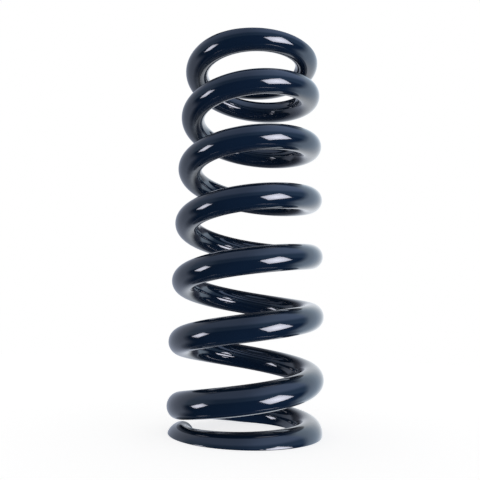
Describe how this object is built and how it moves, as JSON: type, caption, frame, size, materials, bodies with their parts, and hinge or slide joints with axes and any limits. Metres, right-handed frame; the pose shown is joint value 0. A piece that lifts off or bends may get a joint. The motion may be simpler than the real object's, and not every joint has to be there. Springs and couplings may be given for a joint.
{
  "type": "coilover spring",
  "caption": "Right-hand wound steel compression spring in gloss navy, closed and ground flat at both ends, with end coils drawn in to centre on the seats of a coilover damper.",
  "frame": {"origin": "on the coil's axis, in the plane of the lower ground end", "axes": "+Z along the coil's axis towards the upper end, +X to the right as the picture shows it, -Y towards the viewer"},
  "size_m": [0.1, 0.1, 0.254],
  "materials": {
    "coil": "gloss navy powder coat"
  },
  "bodies": {
    "root": {"coil": "coil"}
  },
  "joints": []
}
